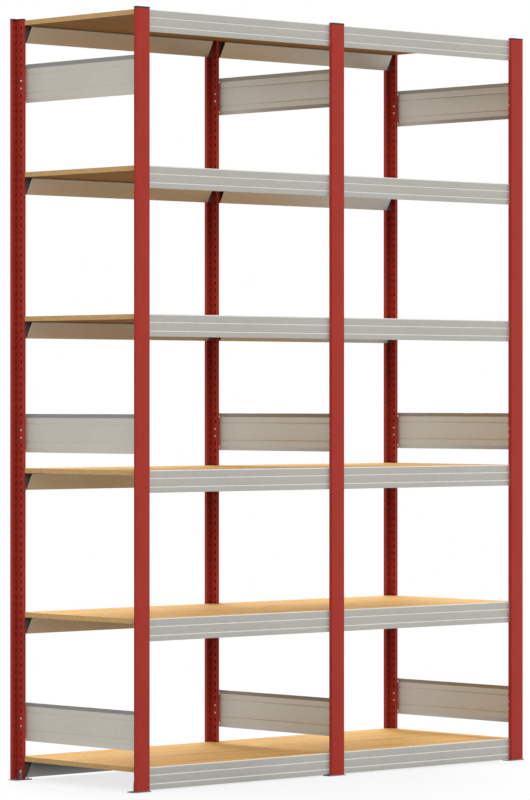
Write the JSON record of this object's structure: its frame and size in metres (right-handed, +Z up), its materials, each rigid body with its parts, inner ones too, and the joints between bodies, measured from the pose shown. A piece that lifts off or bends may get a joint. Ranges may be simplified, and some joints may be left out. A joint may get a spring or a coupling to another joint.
{
  "type": "wide span shelving unit",
  "caption": "Two-bay boltless wide span shelving unit with slotted red uprights, zinc stepped beams, braced end frames and loose chipboard decks",
  "frame": {"origin": "on the floor under the middle of the unit", "axes": "X along the bays, -Y the front, +Z up the uprights"},
  "size_m": [1.8026, 0.6336, 2.5083],
  "materials": {
    "painted_steel": "red powder coat, slight sheen",
    "galvanised_steel": "dull galvanised sheet",
    "chipboard": "raw sanded chipboard",
    "foot_steel": "dark zinc plate"
  },
  "bodies": {
    "frame": {"brace_left_lower": "galvanised_steel", "brace_left_middle": "galvanised_steel", "brace_left_upper": "galvanised_steel", "brace_middle_lower": "galvanised_steel", "brace_middle_middle": "galvanised_steel", "brace_middle_upper": "galvanised_steel", "brace_right_lower": "galvanised_steel", "brace_right_middle": "galvanised_steel", "brace_right_upper": "galvanised_steel", "foot_plate_left_front": "foot_steel", "foot_plate_left_rear": "foot_steel", "foot_plate_middle_front": "foot_steel", "foot_plate_middle_rear": "foot_steel", "foot_plate_right_front": "foot_steel", "foot_plate_right_rear": "foot_steel", "left_bay_beam_1_front": "galvanised_steel", "left_bay_beam_1_rear": "galvanised_steel", "left_bay_beam_2_front": "galvanised_steel", "left_bay_beam_2_rear": "galvanised_steel", "left_bay_beam_3_front": "galvanised_steel", "left_bay_beam_3_rear": "galvanised_steel", "left_bay_beam_4_front": "galvanised_steel", "left_bay_beam_4_rear": "galvanised_steel", "left_bay_beam_5_front": "galvanised_steel", "left_bay_beam_5_rear": "galvanised_steel", "left_bay_beam_6_front": "galvanised_steel", "left_bay_beam_6_rear": "galvanised_steel", "right_bay_beam_1_front": "galvanised_steel", "right_bay_beam_1_rear": "galvanised_steel", "right_bay_beam_2_front": "galvanised_steel", "right_bay_beam_2_rear": "galvanised_steel", "right_bay_beam_3_front": "galvanised_steel", "right_bay_beam_3_rear": "galvanised_steel", "right_bay_beam_4_front": "galvanised_steel", "right_bay_beam_4_rear": "galvanised_steel", "right_bay_beam_5_front": "galvanised_steel", "right_bay_beam_5_rear": "galvanised_steel", "right_bay_beam_6_front": "galvanised_steel", "right_bay_beam_6_rear": "galvanised_steel", "upright_left_front": "painted_steel", "upright_left_rear": "painted_steel", "upright_middle_front": "painted_steel", "upright_middle_rear": "painted_steel", "upright_right_front": "painted_steel", "upright_right_rear": "painted_steel"},
    "left_shelf_1": {"left_bay_deck_1": "chipboard"},
    "left_shelf_2": {"left_bay_deck_2": "chipboard"},
    "left_shelf_3": {"left_bay_deck_3": "chipboard"},
    "left_shelf_4": {"left_bay_deck_4": "chipboard"},
    "left_shelf_5": {"left_bay_deck_5": "chipboard"},
    "left_shelf_6": {"left_bay_deck_6": "chipboard"},
    "right_shelf_1": {"right_bay_deck_1": "chipboard"},
    "right_shelf_2": {"right_bay_deck_2": "chipboard"},
    "right_shelf_3": {"right_bay_deck_3": "chipboard"},
    "right_shelf_4": {"right_bay_deck_4": "chipboard"},
    "right_shelf_5": {"right_bay_deck_5": "chipboard"},
    "right_shelf_6": {"right_bay_deck_6": "chipboard"}
  },
  "joints": [
    {"name": "left_shelf_1_lift", "type": "slide", "parent": "frame", "child": "left_shelf_1", "axis": [0, 0, 1], "range_m": [0, 0.04]},
    {"name": "left_shelf_2_lift", "type": "slide", "parent": "frame", "child": "left_shelf_2", "axis": [0, 0, 1], "range_m": [0, 0.04]},
    {"name": "left_shelf_3_lift", "type": "slide", "parent": "frame", "child": "left_shelf_3", "axis": [0, 0, 1], "range_m": [0, 0.04]},
    {"name": "left_shelf_4_lift", "type": "slide", "parent": "frame", "child": "left_shelf_4", "axis": [0, 0, 1], "range_m": [0, 0.04]},
    {"name": "left_shelf_5_lift", "type": "slide", "parent": "frame", "child": "left_shelf_5", "axis": [0, 0, 1], "range_m": [0, 0.04]},
    {"name": "left_shelf_6_lift", "type": "slide", "parent": "frame", "child": "left_shelf_6", "axis": [0, 0, 1], "range_m": [0, 0.04]},
    {"name": "right_shelf_1_lift", "type": "slide", "parent": "frame", "child": "right_shelf_1", "axis": [0, 0, 1], "range_m": [0, 0.04]},
    {"name": "right_shelf_2_lift", "type": "slide", "parent": "frame", "child": "right_shelf_2", "axis": [0, 0, 1], "range_m": [0, 0.04]},
    {"name": "right_shelf_3_lift", "type": "slide", "parent": "frame", "child": "right_shelf_3", "axis": [0, 0, 1], "range_m": [0, 0.04]},
    {"name": "right_shelf_4_lift", "type": "slide", "parent": "frame", "child": "right_shelf_4", "axis": [0, 0, 1], "range_m": [0, 0.04]},
    {"name": "right_shelf_5_lift", "type": "slide", "parent": "frame", "child": "right_shelf_5", "axis": [0, 0, 1], "range_m": [0, 0.04]},
    {"name": "right_shelf_6_lift", "type": "slide", "parent": "frame", "child": "right_shelf_6", "axis": [0, 0, 1], "range_m": [0, 0.04]}
  ]
}
